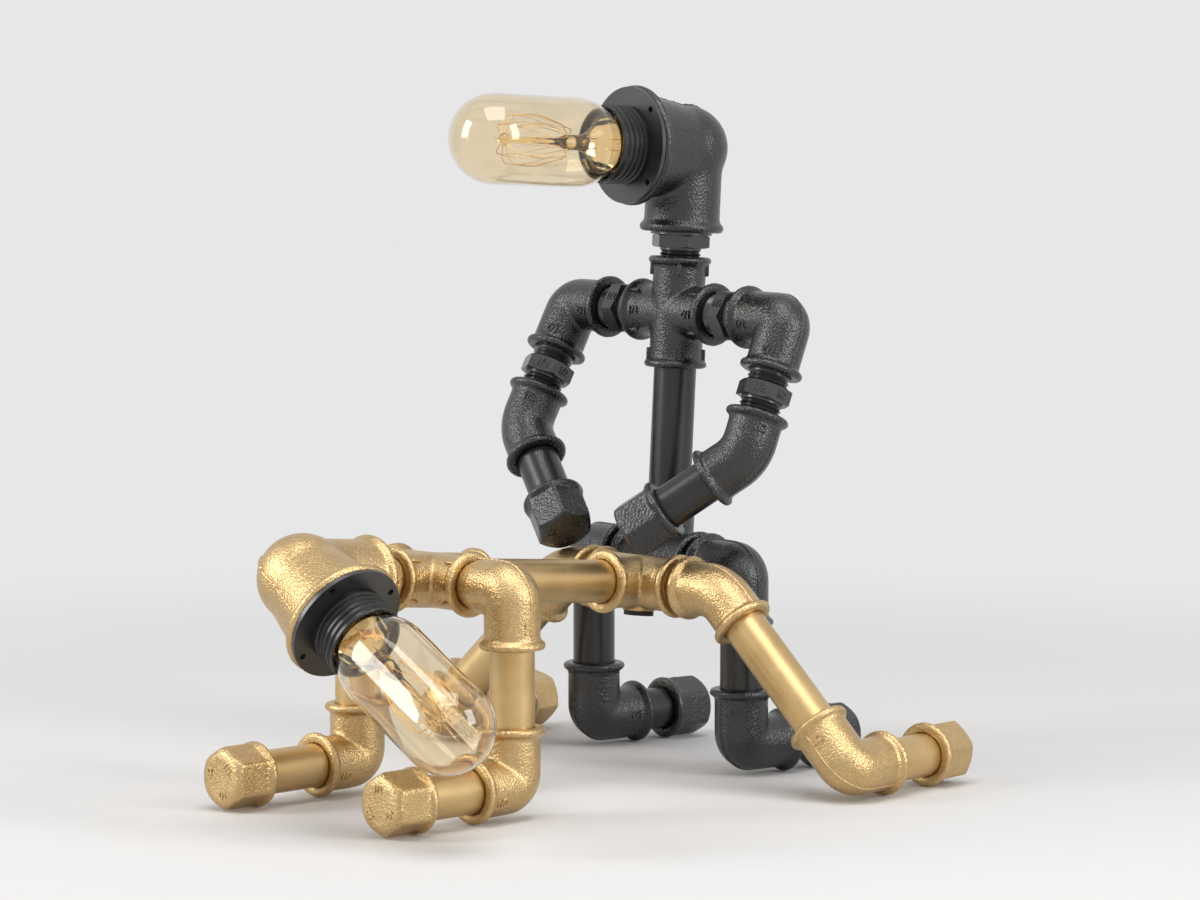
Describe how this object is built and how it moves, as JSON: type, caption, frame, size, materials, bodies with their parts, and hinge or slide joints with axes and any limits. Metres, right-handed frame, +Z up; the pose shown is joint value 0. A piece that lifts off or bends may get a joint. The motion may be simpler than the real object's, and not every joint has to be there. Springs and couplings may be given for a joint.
{
  "type": "pipe figure table lamp",
  "caption": "Table lamp of pipe fittings: a black figure kneels behind a gold one on hands and knees, and each head is a lampholder with a tubular amber bulb.",
  "frame": {"origin": "on the table, under the middle of the outline", "axes": "+X to the front, the way the gold figure's spine points; +Y to the figures' left; +Z up"},
  "size_m": [0.3643, 0.3087, 0.3405],
  "materials": {
    "black_fitting": "satin",
    "black_pipe": "satin",
    "gold_fitting": "satin",
    "gold_pipe": "satin",
    "phenolic": "matte",
    "brass": "satin",
    "amber_glass": "gloss",
    "stem_glass": "gloss",
    "filament": "satin",
    "rubber": "matte"
  },
  "bodies": {
    "figures": {"black_pelvis_tee": "black_fitting", "black_hip_nipples": "black_fitting", "black_hip_elbows": "black_fitting", "black_thigh_pipes": "black_pipe", "black_knee_elbows": "black_fitting", "black_shin_pipes": "black_pipe", "black_foot_caps": "black_fitting", "black_torso_pipe": "black_pipe", "black_shoulder_cross": "black_fitting", "black_neck_nipple": "black_fitting", "black_cord_grommet": "rubber", "black_left_shoulder_nipple": "black_fitting", "black_right_shoulder_nipple": "black_fitting", "gold_pelvis_tee": "gold_fitting", "gold_hip_nipples": "gold_fitting", "gold_hip_bends": "gold_fitting", "gold_thigh_pipes": "gold_pipe", "gold_knee_elbows": "gold_fitting", "gold_shin_pipes": "gold_pipe", "gold_foot_caps": "gold_fitting", "gold_spine_pipe": "gold_pipe", "gold_shoulder_cross": "gold_fitting", "gold_left_shoulder_elbow": "gold_fitting", "gold_right_shoulder_elbow": "gold_fitting", "gold_arm_pipes": "gold_pipe", "gold_wrist_elbows": "gold_fitting", "gold_left_forearm_pipe": "gold_pipe", "gold_right_forearm_pipe": "gold_pipe", "gold_hand_caps": "gold_fitting", "gold_neck_nipple": "gold_fitting", "gold_cord_grommet": "rubber"},
    "black_head": {"black_head_elbow": "black_fitting", "black_flange_disc": "phenolic", "black_lampholder": "phenolic", "black_screw_shell": "brass"},
    "black_bulb": {"black_bulb_cap": "brass", "black_bulb_glass": "amber_glass", "black_bulb_stem": "stem_glass", "black_bulb_filament": "filament"},
    "gold_head": {"gold_head_elbow": "gold_fitting", "gold_flange_disc": "phenolic", "gold_lampholder": "phenolic", "gold_screw_shell": "brass"},
    "gold_bulb": {"gold_bulb_cap": "brass", "gold_bulb_glass": "amber_glass", "gold_bulb_stem": "stem_glass", "gold_bulb_filament": "filament"},
    "black_left_arm": {"black_left_shoulder_elbow": "black_fitting", "black_left_arm_nipple": "black_fitting"},
    "black_left_forearm": {"black_left_arm_bend": "black_fitting", "black_left_forearm_pipe": "black_pipe", "black_left_hand_cap": "black_fitting"},
    "black_right_arm": {"black_right_shoulder_elbow": "black_fitting", "black_right_arm_nipple": "black_fitting"},
    "black_right_forearm": {"black_right_arm_bend": "black_fitting", "black_right_forearm_pipe": "black_pipe", "black_right_hand_cap": "black_fitting"}
  },
  "joints": [
    {"name": "black_head_turn", "type": "hinge", "parent": "figures", "child": "black_head", "pos_m": [-0.11733, -0.00898, 0.30876], "axis": [-0.0553, 0.0073, 0.9984], "range_deg": [-90, 90]},
    {"name": "black_bulb_unscrew", "type": "hinge", "parent": "black_head", "child": "black_bulb", "pos_m": [-0.11733, -0.00898, 0.30876], "axis": [0.9912, -0.1199, 0.0558], "range_deg": [0, 360]},
    {"name": "gold_head_turn", "type": "hinge", "parent": "figures", "child": "gold_head", "pos_m": [0.15074, 0.00632, 0.11545], "axis": [0.9959, 0, 0.0906], "range_deg": [-10, 90]},
    {"name": "gold_bulb_unscrew", "type": "hinge", "parent": "gold_head", "child": "gold_bulb", "pos_m": [0.15074, 0.00632, 0.11545], "axis": [0.0439, 0.8746, -0.4828], "range_deg": [0, 360]},
    {"name": "black_left_arm_swing", "type": "hinge", "parent": "figures", "child": "black_left_arm", "pos_m": [-0.11064, 0.06679, 0.22625], "axis": [-0.0281, -0.9996, 0.0057], "range_deg": [0, 60]},
    {"name": "black_left_forearm_turn", "type": "hinge", "parent": "black_left_arm", "child": "black_left_forearm", "pos_m": [-0.08385, 0.06567, 0.16115], "axis": [-0.3805, 0.016, 0.9246], "range_deg": [0, 90]},
    {"name": "black_right_arm_swing", "type": "hinge", "parent": "figures", "child": "black_right_arm", "pos_m": [-0.11493, -0.08594, 0.22712], "axis": [-0.0281, -0.9996, 0.0057], "range_deg": [0, 60]},
    {"name": "black_right_forearm_turn", "type": "hinge", "parent": "black_right_arm", "child": "black_right_forearm", "pos_m": [-0.08062, -0.08726, 0.16566], "axis": [0.4873, -0.0187, -0.8731], "range_deg": [0, 90]}
  ]
}
